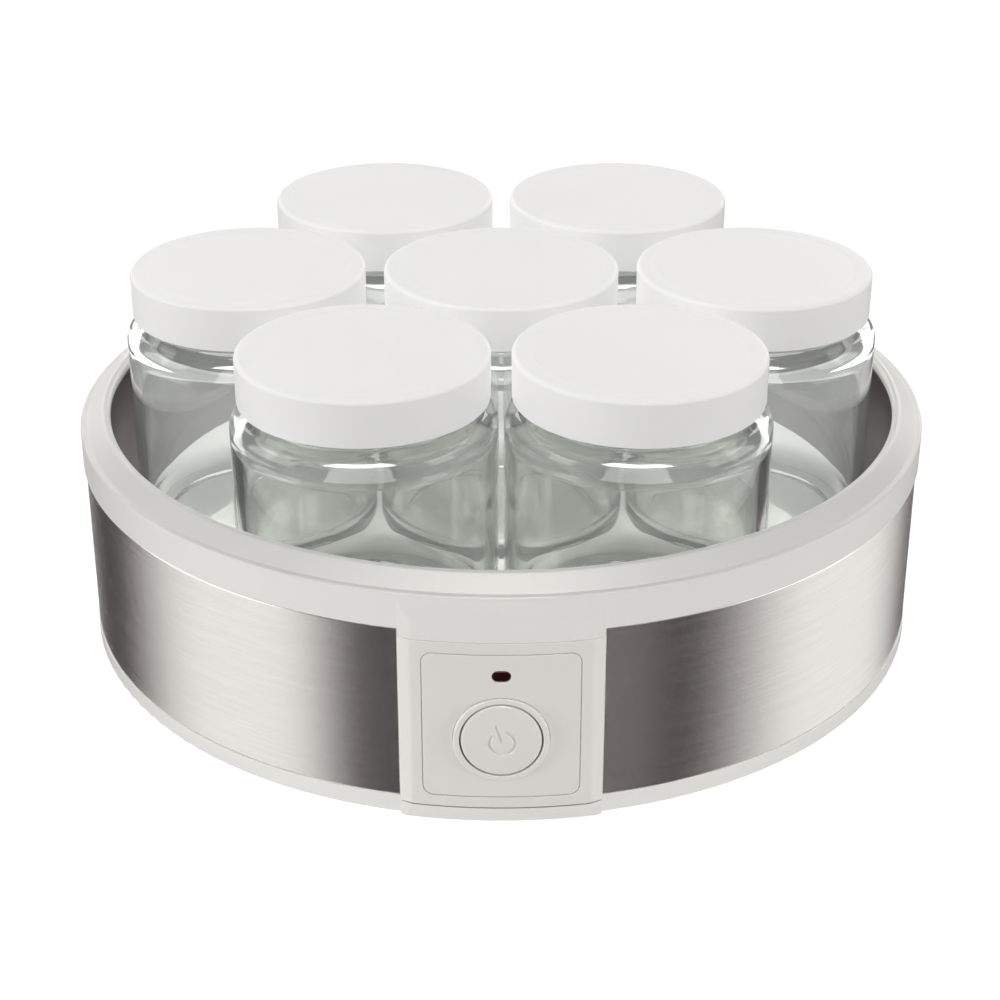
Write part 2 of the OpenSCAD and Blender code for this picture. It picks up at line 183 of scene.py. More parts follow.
def lathe_data(profile, segments, closed=True, warp=None, place=upright, centre=(0.0, 0.0)):
    verts, rings = [], []
    for r, z in profile:
        if r < 1e-4:
            rings.append([len(verts)])
            verts.append(place(centre[0], centre[1], z))
            continue
        ring = []
        for k in range(segments):
            a = 2 * math.pi * k / segments
            radius = warp(r, z, a) if warp else r
            ring.append(len(verts))
            verts.append(place(centre[0] + radius * math.cos(a), centre[1] + radius * math.sin(a), z))
        rings.append(ring)
    pairs = list(zip(rings, rings[1:]))
    if closed:
        pairs.append((rings[-1], rings[0]))
    faces = []
    for a, b in pairs:
        for k in range(segments):
            n = (k + 1) % segments
            if len(a) == 1 and len(b) == 1:
                break
            if len(a) == 1:
                faces.append((a[0], b[n], b[k]))
            elif len(b) == 1:
                faces.append((a[k], a[n], b[0]))
            else:
                faces.append((a[k], a[n], b[n], b[k]))
    return verts, faces


def merge(*parts):
    verts, faces = [], []
    for v, f in parts:
        base = len(verts)
        verts += v
        faces += [tuple(i + base for i in face) for face in f]
    return verts, faces


def flat_normals(obj):
    """Keeps wide flat faces flat beside their rounded edges."""
    mod = obj.modifiers.new("normals", "WEIGHTED_NORMAL")
    mod.keep_sharp = True
    mod.weight = 60
    return obj


def lathe(name, profile, **kw):
    return flat_normals(make_object(name, *lathe_data(profile, **kw)))


# ---- Closed slabs between outlines, laid on the housing by a mapping ----

def rounded_rect(w, h, r, centre, grow=-1, step=1.4):
    """Outline as a function of how far it moves into the material.

    grow is 1 for a hole, and lift stretches the outline in height.
    """
    def outline(inset, lift=0.0):
        d = grow * inset
        rr = max(r + d, 0.02)
        corners = [(1, 1), (-1, 1), (-1, -1), (1, -1)]
        pts = []
        for i, (sx, sy) in enumerate(corners):
            cx, cy = centre[0] + sx * (w / 2 - r), centre[1] + sy * (h / 2 - r)
            for k in range(9):
                a = math.radians(90 * i + 90 * k / 8)
                pts.append((cx + rr * math.cos(a), cy + rr * math.sin(a)))
            nx, ny = corners[(i + 1) % 4]
            a = math.radians(90 * (i + 1))
            start = pts[-1]
            end = (centre[0] + nx * (w / 2 - r) + rr * math.cos(a), centre[1] + ny * (h / 2 - r) + rr * math.sin(a))
            length = (w if sy == ny else h) - 2 * r
            count = max(1, math.ceil(length / step))
            for k in range(1, count):
                pts.append((start[0] + (end[0] - start[0]) * k / count, start[1] + (end[1] - start[1]) * k / count))
        return [(u, v + math.copysign(lift, v - centre[1])) for u, v in pts]
    return outline


def circle(r, centre, grow=-1, count=96):
    def outline(inset):
        rr = r + grow * inset
        turns = [2 * math.pi * k / count for k in range(count)]
        return [(centre[0] + rr * math.cos(a), centre[1] + rr * math.sin(a)) for a in turns]
    return outline


def in_polygon(points, poly):
    """Even-odd test of many points against one polygon."""
    x, y = points[:, 0], points[:, 1]
    hit = np.zeros(len(points), bool)
    j = len(poly) - 1
    for i in range(len(poly)):
        (xi, yi), (xj, yj) = poly[i], poly[j]
        cross = (yi > y) != (yj > y)
        if cross.any():
            at = (xj - xi) * (y - yi) / ((yj - yi) or 1e-12) + xi
            hit ^= cross & (x < at)
        j = i
    return hit


def in_face(points, polys):
    """Points inside the first polygon and outside the holes, which are the other polygons."""
    hit = in_polygon(points, polys[0])
    for hole in polys[1:]:
        hit &= ~in_polygon(points, hole)
    return hit


class Slab:
    """A closed plate built from loops of (across, height, depth), with rounded edges and holes."""

    def __init__(self):
        self.points, self.faces = [], []

    def loop(self, outline, depth):
        first = len(self.points)
        self.points += [(u, v, depth) for u, v in outline]
        return list(range(first, first + len(outline)))

    def bridge(self, a, b):
        n = len(a)
        self.faces += [(a[i], a[(i + 1) % n], b[(i + 1) % n], b[i]) for i in range(n)]

    def rounded(self, outline, depth, radius, steps=4, towards=1):
        """Loops from the wall round to a face at that depth; towards is -1 for the back face."""
        loops = []
        for k in range(steps + 1):
            a = math.radians(90 * k / steps)
            loops.append(self.loop(outline(radius * (1 - math.cos(a))), depth + towards * radius * (1 - math.sin(a))))
        for a, b in zip(loops, loops[1:]):
            self.bridge(a, b)
        return loops[0], loops[-1]

    def walls(self, first, *steps):
        """Walls from a loop through further loops of (outline, depth); returns the last loop."""
        for outline, depth in steps:
            last = self.loop(outline, depth)
            self.bridge(first, last)
            first = last
        return first

    def fill(self, loops, depth, us=(), vs=()):
        """Triangles between the first loop and the other loops, with points on a grid inside."""
        polys = [[self.points[i][:2] for i in loop] for loop in loops]
        edges, flat = [], []
        for loop in loops:
            base = len(flat)
            flat += loop
            edges += [(base + i, base + (i + 1) % len(loop)) for i in range(len(loop))]
        border = np.array([self.points[i][:2] for i in flat])
        grid = np.array([(u, v) for u in us for v in vs]).reshape(-1, 2)
        if len(grid):
            grid = grid[in_face(grid, polys)]
        if len(grid):
            grid = grid[np.array([np.min(np.hypot(*(border - g).T)) > GRID_CLEARANCE for g in grid])]
        index = list(flat)
        for u, v in grid:
            index.append(len(self.points))
            self.points.append((float(u), float(v), depth))
        coords = [Vector(self.points[i][:2]) for i in index]
        out, _, tris, orig, _, _ = delaunay_2d_cdt(coords, edges, [], 0, 1e-7)
        ids = [index[o[0]] for o in orig]
        centre = np.array([[sum(out[i][c] for i in t) / 3 for c in (0, 1)] for t in tris])
        keep = in_face(centre, polys)
        self.faces += [tuple(ids[i] for i in t) for t, k in zip(tris, keep) if k]

    def data(self, mapping):
        return [mapping(u, v, d) for u, v, d in self.points], self.faces


def spaced(lo, hi, step):
    count = max(1, round((hi - lo) / step))
    return [lo + (hi - lo) * k / count for k in range(count + 1)]


def soft_max(a, b, k=0.22):
    h = max(k - abs(a - b), 0.0) / k
    return max(a, b) + h * h * k * 0.25


def smooth_step(t):
    t = min(max(t, 0.0), 1.0)
    return t * t * (3 - 2 * t)


def strip_drop(u):
    """How far the bevelled strip at each side lies behind the panel's face."""
    return soft_max(STRIP_DROP * (abs(u) - FIELD_HALF) / (PANEL_HALF - FIELD_HALF), 0.0)


def on_panel(radius, thickness, drop):
    """Mapping of (across, height, depth) onto the panel's curve.

    drop(u, v) moves the surface back: in full at the face, and not at all at the back.
    """
    def mapping(u, v, depth):
        share = 1 - min(max(depth / thickness, 0.0), 1.0)
        return u, -math.sqrt(radius * radius - u * u) + depth + drop(u, v) * share, v
    return mapping


PANEL_US = sorted({*spaced(-FIELD_HALF + 0.9, FIELD_HALF - 0.9, 1.2),
                   *[s * (FIELD_HALF + d) for s in (-1, 1) for d in (-0.5, -0.25, 0, 0.25, 0.5, 1.5)]})

pieces = {}


def add(name, obj, body, slot, *replaced):
    pieces[name] = obj
    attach(obj, body)
    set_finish(obj, slot)
    if replaced:
        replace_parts(obj, *replaced)
    return obj


# ---- Rim with its brow ----

def rim_profile():
    bead_r = 1.6
    bead = (RIM_IN_R + bead_r, BODY_H - bead_r)
    ledge = Vector((RIM_R - 1.6, LEDGE_Z))
    to = Vector(bead) - ledge
    lean = math.degrees(math.atan2(-to.y, -to.x) + math.acos(bead_r / to.length))
    tangent = (bead[0] + bead_r * math.cos(math.radians(lean)), bead[1] + bead_r * math.sin(math.radians(lean)))
    outer = fillet([(*tangent, 0), (*ledge, 0.35), (RIM_R, LEDGE_Z, 0.55), (RIM_R, RIM_Z0, 0.5),
                    (RIM_R - 1.2, RIM_Z0, 0.25), (RIM_R - 1.2, LEDGE_Z - 3.5, 0.4),
                    (RIM_IN_R + 2.9, LEDGE_Z - 1.2, 0.4), (RIM_IN_R + 2.9, RIM_Z0 + 5.2, 0.3),
                    (RIM_IN_R + 1.5, RIM_Z0 + 5.2, 0.3),
                    (bead[0] - 0.1, bead[1] - bead_r, 0)], closed=False)
    return arc(bead, bead_r, 266, lean, 6)[:-1] + outer[:-1]


def brow_data():
    top = LEDGE_Z - 1.6
    step_h, step_depth = 5.2, 1.3
    step_z = top - step_h
    back = 2.3
    outline = rounded_rect(2 * PANEL_HALF, top - SEAM_TOP, 0.35, (0, (top + SEAM_TOP) / 2), step=0.8)
    slab = Slab()
    wall, face = slab.rounded(outline, 0, 0.22)
    vs = [*spaced(SEAM_TOP + 0.8, step_z - 0.6, 0.8), step_z - 0.3, step_z, step_z + 0.3,
          *spaced(step_z + 0.7, top - 0.5, 0.5)]
    us = sorted({*PANEL_US, *[s * (FIELD_HALF + d) for s in (-1, 1) for d in (0.9, 1.2, 2.0, 2.5)]})
    slab.fill([face], 0, us, vs)
    rear = slab.loop(outline(0), back)
    slab.bridge(wall, rear)
    slab.fill([rear], back, spaced(-24, 24, 2), spaced(SEAM_TOP + 1, top - 1, 2))
    return slab.data(on_panel(PANEL_R, back, lambda u, v: soft_max(strip_drop(u), step_depth * (v - step_z) / step_h)))


rim = flat_normals(make_object("rim", *merge(lathe_data(rim_profile(), segments=360), brow_data())))
add("rim", rim, "housing", "white_moulding", "upper_rim")

# ---- Steel band, tray wall and tray floor ----

def band_data():
    last = BAND_R * math.radians(180 - math.degrees(math.asin((PANEL_HALF + 0.1) / BAND_R)))
    mid = (BAND_Z0 + BAND_Z1) / 2
    outline = rounded_rect(2 * last, BAND_Z1 - BAND_Z0, 0.35, (0, mid), step=1.5)
    hole = circle(6.4, (0, GLAND_Z), grow=1)
    us = spaced(-last + 1.2, last - 1.2, 1.5)
    vs = spaced(BAND_Z0 + 1, BAND_Z1 - 1, 5)
    slab = Slab()
    front_wall, front = slab.rounded(outline, 0, 0.24)
    hole_wall, hole_front = slab.rounded(hole, 0, 0.15, steps=2)
    slab.fill([front, hole_front], 0, us, vs)
    back_wall, back = slab.rounded(outline, BAND_T, 0.24, towards=-1)
    slab.bridge(front_wall, back_wall)
    hole_back = slab.loop(hole(0), BAND_T)
    slab.bridge(hole_wall, hole_back)
    slab.fill([back, hole_back], BAND_T, us, vs)

    def mapping(u, v, depth):
        a = u / BAND_R
        return (BAND_R - depth) * math.sin(a), (BAND_R - depth) * math.cos(a), v
    return slab.data(mapping)


band = flat_normals(make_object("steel_wrap", *band_data()))
add("band", band, "housing", "brushed_steel", "steel_band")

wall_top = BODY_H - 3.3
liner = lathe("tray_wall", fillet([(LINER_R, FLOOR_Z - 1.4, 0), (LINER_R + 0.8, FLOOR_Z - 1.4, 0.2),
                                   (LINER_R + 0.8, wall_top, 0.25), (LINER_R, wall_top, 0.25)]), segments=360)
# The tray wall's dark_steel tone is set far below bare steel's, so its colour carries painted shade of the tray's
# inside and of the dark surroundings it mirrors
add("liner", liner, "housing", "dark_steel", "inner_liner")

tray_r = LINER_R - 0.1
tray = lathe("tray_floor", fillet([(0, FLOOR_Z, 0), (tray_r - 3, FLOOR_Z, 0.5), (tray_r - 2.6, FLOOR_Z - 0.25, 0.3),
                                   (tray_r, FLOOR_Z - 0.25, 0.12), (tray_r, FLOOR_Z - 1.4, 0.2),
                                   (0, FLOOR_Z - 1.4, 0)], closed=False), segments=360, closed=False)
add("tray", tray, "housing", "plate_aluminium", "heating_plate")

# ---- Control panel ----

def fascia_data():
    z1 = SEAM_TOP - SEAM_GAP - 0.12
    back, pocket_depth = 2.45, 1.55
    outer = rounded_rect(2 * PANEL_HALF, z1 - SEAM_LOW, 0.3, (0, (z1 + SEAM_LOW) / 2))
    pocket = rounded_rect(PLATE_W + 0.44, PLATE_H + 0.44, PLATE_CORNER + 0.22, (0, PLATE_Z), grow=1)
    window = rounded_rect(PLATE_W - 4, PLATE_H - 4, PLATE_CORNER, (0, PLATE_Z), grow=1)
    vs = spaced(SEAM_LOW + 1, z1 - 1, 1.6)
    slab = Slab()
    outer_wall, outer_face = slab.rounded(outer, 0, 0.2)
    pocket_wall, pocket_face = slab.rounded(pocket, 0, 0.14, steps=3)
    slab.fill([outer_face, pocket_face], 0, PANEL_US, vs)
    pocket_floor = slab.loop(pocket(0), pocket_depth)
    slab.bridge(pocket_wall, pocket_floor)
    window_top = slab.loop(window(0), pocket_depth)
    slab.fill([pocket_floor, window_top], pocket_depth)
    window_back = slab.loop(window(0), back)
    slab.bridge(window_top, window_back)
    outer_back = slab.walls(outer_wall, (outer(0), SEAM_DEPTH), (outer(0, 0.22), SEAM_DEPTH), (outer(0, 0.22), 1.5),
                            (outer(0), 1.5), (outer(0), back))
    slab.fill([outer_back, window_back], back, PANEL_US, vs)
    return slab.data(on_panel(PANEL_R, back, lambda u, v: strip_drop(u)))


fascia = flat_normals(make_object("panel_frame", *fascia_data()))
add("fascia", fascia, "housing", "panel_moulding", "control_fascia")


def slot_outline(w, h, centre, grow=-1):
    return rounded_rect(w, h, h / 2 - 0.001, centre, grow, step=0.6)


def plate_data():
    thickness = 1.45
    outer = rounded_rect(PLATE_W, PLATE_H, PLATE_CORNER, (0, PLATE_Z))
    ring_hole = circle(BEZEL_R + 0.08, (0, BUTTON_Z), grow=1)
    lens_hole = slot_outline(LENS_W + 0.2, LENS_H + 0.2, (0, LENS_Z), grow=1)
    us, vs = spaced(-18.5, 18.5, 1.2), spaced(PLATE_Z - 20, PLATE_Z + 20, 1.6)
    slab = Slab()
    edges = ((outer, 0.16), (ring_hole, 0.12), (lens_hole, 0.25))
    walls, faces = zip(*[slab.rounded(outline, 0, radius, steps=3) for outline, radius in edges])
    slab.fill(list(faces), 0, us, vs)
    rears = [slab.walls(walls[0], (outer(0), SEAM_DEPTH), (outer(-0.18), SEAM_DEPTH), (outer(-0.18), thickness)),
             slab.walls(walls[1], (ring_hole(0), thickness)), slab.walls(walls[2], (lens_hole(0), thickness))]
    slab.fill(rears, thickness, us, vs)
    posts = []
    for x in (-13.2, 13.2):
        for z in (13.6, 45.9):
            ring = fillet([(1.05, 115.8, 0), (2.1, 115.8, 0.2), (2.1, 119.5, 0), (1.05, 119.5, 0)])
            posts.append(lathe_data(ring, segments=32, centre=(x, 0), place=facing_front(z)))
    return merge(slab.data(on_panel(PANEL_R - 0.05, thickness, lambda u, v: 0.0)), *posts)


plate = flat_normals(make_object("panel_inlay", *plate_data()))
add("plate", plate, "housing", "panel_moulding", "control_plate")

bezel_in = BUTTON_R + 0.42
bezel = lathe("button_ring", fillet([(bezel_in, PANEL_R - 2.4, 0.1), (BEZEL_R, PANEL_R - 2.4, 0.1),
                                     (BEZEL_R, PANEL_R + 0.5, 0.45), (bezel_in, PANEL_R + 0.5, 0.3)]),
              segments=160, place=facing_front(BUTTON_Z))
add("bezel", bezel, "housing", "panel_moulding", "button_bezel")


def lens_data():
    slab = Slab()
    outer = slot_outline(LENS_W, LENS_H, (0, LENS_Z))
    wall, face = slab.rounded(outer, 0.15, 0.5, steps=5)
    slab.fill([face], 0.15, spaced(-2, 2, 0.5), spaced(LENS_Z - 1.2, LENS_Z + 1.2, 0.4))
    rear = slab.loop(outer(0), 2.3)
    slab.bridge(wall, rear)
    slab.fill([rear], 2.3)
    return slab.data(lambda u, v, d: (u, -PANEL_R + d, v))


lens = flat_normals(make_object("status_lens", *lens_data()))
add("lens", lens, "housing", "red_lens", "led_lens")


def ribbon(points, width):
    """Outline of a groove with round ends along a line of points; it grows by the inset."""
    def outline(inset):
        half = width / 2 + inset
        left, right = [], []
        for i, p in enumerate(points):
            a, b = Vector(points[max(i - 1, 0)]), Vector(points[min(i + 1, len(points) - 1)])
            side = (b - a).normalized().orthogonal() * half
            left.append(tuple(Vector(p) + side))
            right.append(tuple(Vector(p) - side))

        def cap(centre, start):
            a0 = math.atan2(start[1] - centre[1], start[0] - centre[0])
            turns = [a0 - math.pi * k / 8 for k in range(1, 8)]
            return [(centre[0] + half * math.cos(a), centre[1] + half * math.sin(a)) for a in turns]
        return left + cap(points[-1], left[-1]) + right[::-1] + cap(points[0], right[0])
    return outline


def standby_strokes():
    """Generic standby mark, leaning to the left: a ring that is open at the top, and a bar."""
    radius, opening, tilt = 3.175, 38, math.radians(18)
    ring = [(radius * math.cos(math.radians(a)), radius * math.sin(math.radians(a)) - 0.6)
            for a in spaced(90 + opening, 450 - opening, 6)]
    bar = [(0, v) for v in spaced(0.125, 4.475, 0.5)]
    return [ribbon([(u * math.cos(tilt) - v * math.sin(tilt), BUTTON_Z + u * math.sin(tilt) + v * math.cos(tilt))
                    for u, v in points], 0.85) for points in (ring, bar)]


def button_data():
    crown_r, mark_depth, cap = 120.0, 0.34, 1.7
    spot = (0, BUTTON_Z)
    slab = Slab()
    wall, face = slab.rounded(circle(BUTTON_R, spot, count=160), 0, 0.7, steps=7)
    holes = []
    for stroke in standby_strokes():
        hole_wall, hole_face = slab.rounded(stroke, 0, 0.14, steps=3)
        holes.append(hole_face)
        slab.fill([slab.walls(hole_wall, (stroke(-0.12), mark_depth))], mark_depth)
    slab.fill([face, *holes], 0, spaced(-9, 9, 0.75), spaced(BUTTON_Z - 9, BUTTON_Z + 9, 0.75))
    flange, skirt, stem = (circle(r, spot, count=160)(0) for r in (bezel_in + 0.9, BUTTON_R - 1.8, 1.7))
    side = circle(BUTTON_R, spot, count=160)(0)
    last = slab.walls(wall, (side, cap), (side, FRONT_Y - 118.7), (flange, FRONT_Y - 118.7), (flange, FRONT_Y - 117.9),
                      (skirt, FRONT_Y - 117.9), (skirt, cap), (stem, cap), (stem, FRONT_Y - 118.6))
    slab.fill([last], FRONT_Y - 118.6)

    def mapping(u, v, depth):
        fall = crown_r - math.sqrt(crown_r ** 2 - u * u - (v - BUTTON_Z) ** 2)
        return u, -FRONT_Y + depth + fall * max(1 - depth / cap, 0.0), v
    return slab.data(mapping)


button = flat_normals(make_object("push_button", *button_data(), sharp=30))
add("button", button, "button", "panel_moulding", "power_button")

# ---- Cord inlet and feet ----
gland = lathe("cord_inlet", fillet([(3.5, 112.5, 0.3), (6.0, 112.5, 0.3), (6.0, 112.9, 0.05), (8.0, 112.9, 0.2),
                                    (8.0, 116.1, 0.2), (6.0, 116.1, 0.1), (6.0, 119.5, 0.1), (8.0, 119.5, 0.3),
                                    (6.6, FRONT_Y, 0.7), (3.5, FRONT_Y, 0.6)]),
              segments=96, place=facing_back(GLAND_Z))
add("gland", gland, "housing", "white_moulding", "cable_gland")

foot_parts = []
for angle in (45, 135, 225, 315):
    spot = (FOOT_PITCH_R * math.cos(math.radians(angle)), FOOT_PITCH_R * math.sin(math.radians(angle)))
    foot = [(0, 0.25), *fillet([(4.6, 0.25, 0), (5.0, 0, 0.2), (8.0, 0, 0.5), (8.0, 1.7, 0.2), (2.5, 1.7, 0),
                                (2.5, 3.7, 0), (3.2, 3.7, 0.15), (3.0, 4.7, 0.4), (0, 4.7, 0)], closed=False)]
    foot_parts.append(lathe_data(foot, segments=64, closed=False, centre=spot))
feet = flat_normals(make_object("feet", *merge(*foot_parts)))
add("feet", feet, "housing", "rubber_foot", "rubber_feet")

# ---- Jars, seals and lids ----

def jar_profile():
    base = [(0, 1.0), (12, 0.9), (22, 0.65), *fillet([(24.6, 0.55, 0), (26.4, 0, 0.8), (28.5, 0, 0)], closed=False)]
    heel = arc((31, 4), 4, -90, 0, 9)
    outer = arc((30.4, 56.6), 4.6, 0, 78, 4) + [(30.6, 61.28)]
    root = arc((29.9, 62.1), 0.7, 258, 180, 16)
    neck = line((29.2, 62.1), (29.2, 73.1), 0.22)
    lip = arc((28.3, 73.1), 0.9, 0, 90, 15) + arc((27.5, 73.1), 0.9, 90, 180, 15)
    throat = line((26.6, 72.5), (26.6, 59.62), 3)
    inner_root = arc((27.6, 59.42), 1.0, 180, 255, 12)
    inner_shoulder = arc((25.2, 51.7), 6.8, 75, 0, 5)
    inner_heel = arc((27, 9), 5, 0, -90, 7)
    floor = [(22, 4.05), (14, 4.3), (6, 4.5), (0, 4.55)]
    return base + heel + outer + root + neck + lip + throat + inner_root + inner_shoulder + inner_heel + floor


def rib_height(z, angle, centre_z, half_angle, half_h):
    """Share of a thread rib's height at a point: four ribs that rise to the left at the thread's lead."""
    off = (math.degrees(angle) + 45) % 90 - 45
    dz = abs(z - centre_z - THREAD_LEAD * off / 360)
    return smooth_step(1 - max(dz - 0.25, 0) / half_h) * smooth_step((half_angle - abs(off)) / 3.0 + 1)


def jar_warp(r, z, angle):
    if r > 28.9 and 62 < z < 72.6:
        return r + 1.25 * rib_height(z, angle, JAR_THREAD_Z, 31, 0.5)
    return r


def lid_profile():
    top = fillet([(0, 12.58, 0), (28.0, 12.58, 2.5), (29.2, 12.7, 2.5), (33.0, 12.7, 1.3), (32.9, 0, 0.35),
                  (LID_IN_R, 0, 0.3), (LID_IN_R, 2.6, 0)], closed=False, step=9)
    return top[:-1] + line((LID_IN_R, 2.6), (LID_IN_R, 6.0), 0.2) + fillet(
        [(LID_IN_R, 6.0, 0), (LID_IN_R, 11.1, 0.5), (0, 11.1, 0)], closed=False)


def lid_warp(r, z, angle):
    if abs(r - LID_IN_R) < 0.05 and 2.7 < z < 5.8:
        return r - 1.3 * rib_height(z, angle, LID_THREAD_Z, 6.5, 0.45)
    return r


for i in JAR_IDS:
    turn = math.radians(60 * (i - 2))
    spot = (0.0, 0.0) if i == 1 else (JAR_PITCH * math.cos(turn), JAR_PITCH * math.sin(turn))

    def at(z0):
        return lambda x, y, z: (x + spot[0], y + spot[1], z + z0)
    jar = make_object(f"glass_jar_{i}", *lathe_data(jar_profile(), segments=192, closed=False, warp=jar_warp,
                                                   place=at(FLOOR_Z)), sharp=60)
    add(f"jar_{i}", jar, f"jar_{i}", "clear_glass", f"jar_{i}")
    seal = lathe(f"seal_disc_{i}", fillet([(0, 0, 0), (SEAL_R, 0, 0.3), (SEAL_R, SEAL_T, 0.3), (0, SEAL_T, 0)],
                                          closed=False), segments=96, closed=False, place=at(FLOOR_Z + JAR_H))
    add(f"seal_{i}", seal, f"seal_{i}", "seal_foam", f"lid_seal_{i}")
    lid = flat_normals(make_object(f"screw_lid_{i}", *lathe_data(lid_profile(), segments=192, closed=False,
                                                                warp=lid_warp, place=at(LID_Z0))))
    add(f"lid_{i}", lid, f"lid_{i}", "white_lid", f"jar_lid_{i}")


# ---- Light, in units of a white surface's brightness ----
FLOOR_GLOW, FLOOR_SEEN = 0.22, 0.86
AMBIENT = 0.30

# Each box: start, full start, full end and end in degrees from the front, and its strength
LOW_BASE = 0.06
LOW_BOXES = ((-132, -88, -62, -37, 1.0), (50, 94, 118, 158, 1.0), (-179, -172, -170, -140, 0.4),
             (4, 24, 34, 52, 0.12))
HIGH_BASE = 0.12
HIGH_BOXES = ((-173, -168, -140, -134, 4.0), (-112, -104, -62, -54, 3.5), (54, 62, 104, 112, 3.0),
              (134, 140, 168, 173, 4.0))
TOP_BASE = 0.15
TOP_BOXES = ((-44, -38, 32, 38, 22.0), (140, 150, 180, 181, 1.5), (-181, -180, -150, -140, 1.5))

# Name, group it lights, group that casts its shadows, azimuth from the front, elevation, strength, spread
LAMPS = (
    ("lids_top", "lids", None, 0, 88, 0.62, 35),
    ("lids_front", "lids", None, 0, -15, 0.28, 35),
    ("lids_left", "lids", None, -80, -12, 0.42, 35),
    ("lids_right", "lids", None, 80, -12, 0.25, 35),
    ("housing_top", "housing", "panel", 0, 88, 0.31, 35),
    ("housing_front", "housing", "panel", 0, -12, 0.47, 35),
    ("housing_left", "housing", "panel", -80, -10, 0.28, 35),
    ("housing_right", "housing", "panel", 80, -10, 0.17, 35),
    ("housing_back", "housing", "panel", 180, 10, 0.35, 35),
    ("panel_front", "panel", "panel", -12, 22, 0.29, 22),
    ("panel_left", "panel", "panel", -75, 5, 0.57, 25),
    ("panel_right", "panel", "panel", 75, 5, 0.53, 25),
    ("tray_soft", "tray", None, 0, 88, 0.36, 35),
    ("tray_top", "tray", "lids", -20, 80, 1.05, 16),
    ("front_jars", "front_jars", None, 0, -25, 0.18, 35),
    ("front_jars_back", "front_jars", None, 180, 20, 0.1, 35),
    ("other_jars", "other_jars", None, 0, -25, 1.4, 35),
    ("other_jars_back", "other_jars", None, 180, 20, 0.3, 35),
)

# ---- Materials ----

class Tree:
    """Short calls for the nodes of a tree."""

    def __init__(self, tree):
        self.tree = tree

    def node(self, kind, inputs=(), **settings):
        n = self.tree.nodes.new(kind)
        for key, value in settings.items():
            setattr(n, key, value)
        for key, value in dict(inputs).items():
            if isinstance(value, bpy.types.NodeSocket):
                self.tree.links.new(value, n.inputs[key])
            else:
                n.inputs[key].default_value = value
        return n

    def math(self, operation, *values):
        return self.node("ShaderNodeMath", dict(enumerate(values)), operation=operation).outputs[0]

    def ease(self, value, start, end, low=0.0, high=1.0):
        return self.node("ShaderNodeMapRange", {"Value": value, "From Min": start, "From Max": end, "To Min": low,
                                                "To Max": high}, interpolation_type="SMOOTHSTEP").outputs[0]

    def mix(self, factor, a, b):
        """Plain number a where the factor is 0, b where it is 1."""
        return self.node("ShaderNodeMapRange", {"Value": factor, "To Min": a, "To Max": b}).outputs[0]


class Look(Tree):
    """A material's nodes round its Principled shader."""

    def __init__(self, name):
        self.material = bpy.data.materials.new(name)
        self.material.use_nodes = True
        super().__init__(self.material.node_tree)
        self.shader = self.tree.nodes["Principled BSDF"]
        self.coords = self.tree.nodes.new("ShaderNodeTexCoord").outputs["Object"]

    def set(self, **sockets):
        for key, value in sockets.items():
            self.shader.inputs[key.replace("_", " ")].default_value = value
        return self

    def drive(self, key, socket):
        self.tree.links.new(socket, self.shader.inputs[key])
        return self

    def noise(self, scale, detail=3.0, rough=0.55, vector=None):
        return self.node("ShaderNodeTexNoise", {"Vector": vector or self.coords, "Scale": scale, "Detail": detail,
                                                "Roughness": rough}).outputs["Fac"]

    def span(self, value, low, high, from_low=0.3, from_high=0.7):
        return self.node("ShaderNodeMapRange", {"Value": value, "From Min": from_low, "From Max": from_high,
                                                "To Min": low, "To Max": high}).outputs["Result"]

    def tones(self, value, dark, light):
        ramp = self.node("ShaderNodeValToRGB", {"Fac": value})
        ramp.color_ramp.elements[0].position, ramp.color_ramp.elements[1].position = 0.3, 0.7
        ramp.color_ramp.elements[0].color = (*dark, 1)
        ramp.color_ramp.elements[1].color = (*light, 1)
        return ramp.outputs["Color"]

    def bump(self, height, strength, distance):
        n = self.node("ShaderNodeBump", {"Height": height, "Strength": strength, "Distance": distance})
        return self.drive("Normal", n.outputs["Normal"])


def shade(colour, k):
    return tuple(c * k for c in colour)


def moulded(name, colour, rough, grain=2600.0, depth=0.00002, spread=0.025, **sockets):
    """Injection-moulded plastic: slow drift of tone, fine grain in the gloss and the surface."""
    m = Look(name).set(**sockets)
    m.drive("Base Color", m.tones(m.noise(22, 2), shade(colour, 1 - spread), shade(colour, 1 + spread * 0.4)))
    m.drive("Roughness", m.span(m.noise(grain * 0.4, 2), rough - 0.05, rough + 0.06))
    return m.bump(m.noise(grain, 2), 0.22, depth).material


def cylinder_coords(m, along, across):
    """Coordinates stretched along the circumference, for marks left by brushing round the axis."""
    xyz = m.node("ShaderNodeSeparateXYZ", {"Vector": m.coords})
    turn = m.math("ARCTAN2", xyz.outputs["X"], xyz.outputs["Y"])
    u = m.math("MULTIPLY", turn, along)
    v = m.math("MULTIPLY", xyz.outputs["Z"], across)
    return m.node("ShaderNodeCombineXYZ", {"X": u, "Y": v, "Z": 0.0}).outputs[0]


def brushed(name, colour, rough, anisotropy, depth, spread=0.05):
    """Metal brushed round the axis: fine lines within coarser ones, in tone, gloss and height."""
    m = Look(name).set(Metallic=1.0, Anisotropic=anisotropy, Anisotropic_Rotation=0.25)
    tangent = m.node("ShaderNodeTangent", direction_type="RADIAL", axis="Z").outputs[0]
    m.drive("Tangent", tangent)
    fine = m.noise(1.0, 3, 0.6, cylinder_coords(m, 9.0, 5200.0))
    coarse = m.noise(1.0, 2, 0.6, cylinder_coords(m, 3.5, 1500.0))
    lines = m.span(m.math("MULTIPLY_ADD", fine, coarse, coarse), 0.0, 1.0, 0.55, 1.0)
    m.drive("Base Color", m.tones(lines, shade(colour, 1 - spread), shade(colour, 1 + spread * 0.5)))
    m.drive("Roughness", m.span(lines, rough - 0.012, rough + 0.012, 0.2, 0.8))
    return m.bump(fine, 0.03, depth).material


